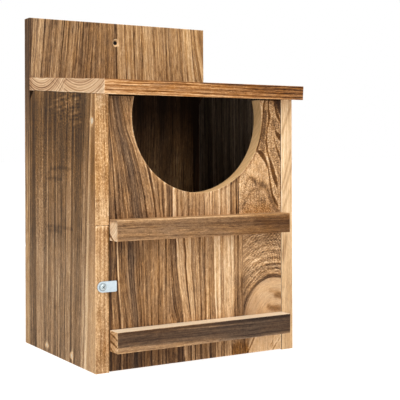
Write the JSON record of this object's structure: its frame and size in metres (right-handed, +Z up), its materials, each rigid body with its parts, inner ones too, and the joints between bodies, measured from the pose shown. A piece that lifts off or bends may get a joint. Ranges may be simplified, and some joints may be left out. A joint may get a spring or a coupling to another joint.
{
  "type": "owl nest box",
  "caption": "Wooden owl nest box with a tall hanging back board, sloping roof, large round entrance in a swing-up front with ledges, and a small turn latch.",
  "frame": {"origin": "on the surface the box stands on, under the middle of its overall width and depth", "axes": "+X right seen from the front, -Y out of the front, +Y towards the back board and the wall, +Z up along the back board"},
  "size_m": [0.24, 0.2122, 0.372],
  "materials": {
    "back_wood": "flame-darkened and brushed softwood, matt, raw light wood at the cut edges",
    "left_side_wood": "flame-darkened and brushed softwood, dark brown with fine straight grain, matt",
    "strip_upper_wood": "lightly scorched softwood, warm tan front edge, matt",
    "strip_lower_wood": "lightly scorched softwood, pale front edge, matt",
    "right_side_wood": "flame-darkened and brushed softwood with a pale front edge, matt",
    "floor_wood": "flame-darkened softwood, matt",
    "roof_wood": "flame-darkened and brushed softwood, reddish brown front edge, pale end grain, matt",
    "front_wood": "flame-darkened and brushed softwood with bold light and dark figure, pale cut rim, matt",
    "upper_ledge_wood": "flame-darkened softwood, matt",
    "lower_ledge_wood": "flame-darkened softwood, greyish dark brown face, pale top, matt",
    "zinc_plate": "bright zinc plated, satin",
    "screw_steel": "zinc plated, satin",
    "nail_steel": "plain wire nail steel, satin"
  },
  "bodies": {
    "box_body": {"back_board": "back_wood", "left_side_panel": "left_side_wood", "left_front_strip_upper": "strip_upper_wood", "left_front_strip_lower": "strip_lower_wood", "right_side_panel": "right_side_wood", "floor_board": "floor_wood", "roof_board": "roof_wood", "latch_screw": "screw_steel", "left_pivot_nail": "nail_steel", "right_pivot_nail": "nail_steel", "left_floor_nails": "nail_steel", "right_floor_nails": "nail_steel", "back_left_nails": "nail_steel", "back_right_nails": "nail_steel", "back_floor_nails": "nail_steel", "back_roof_nails": "nail_steel", "roof_left_nails": "nail_steel", "roof_right_nails": "nail_steel"},
    "front_door": {"front_panel": "front_wood", "upper_ledge": "upper_ledge_wood", "lower_ledge": "lower_ledge_wood", "upper_ledge_nails": "nail_steel", "lower_ledge_nails": "nail_steel"},
    "latch": {"latch_plate": "zinc_plate"}
  },
  "joints": [
    {"name": "front_swing", "type": "hinge", "parent": "box_body", "child": "front_door", "pos_m": [0, -0.07644, 0.2495], "axis": [-1, 0, 0], "range_deg": [0, 115]},
    {"name": "latch_turn", "type": "hinge", "parent": "box_body", "child": "latch", "pos_m": [-0.1128, -0.08394, 0.0855], "axis": [0, -1, 0], "continuous": true}
  ]
}
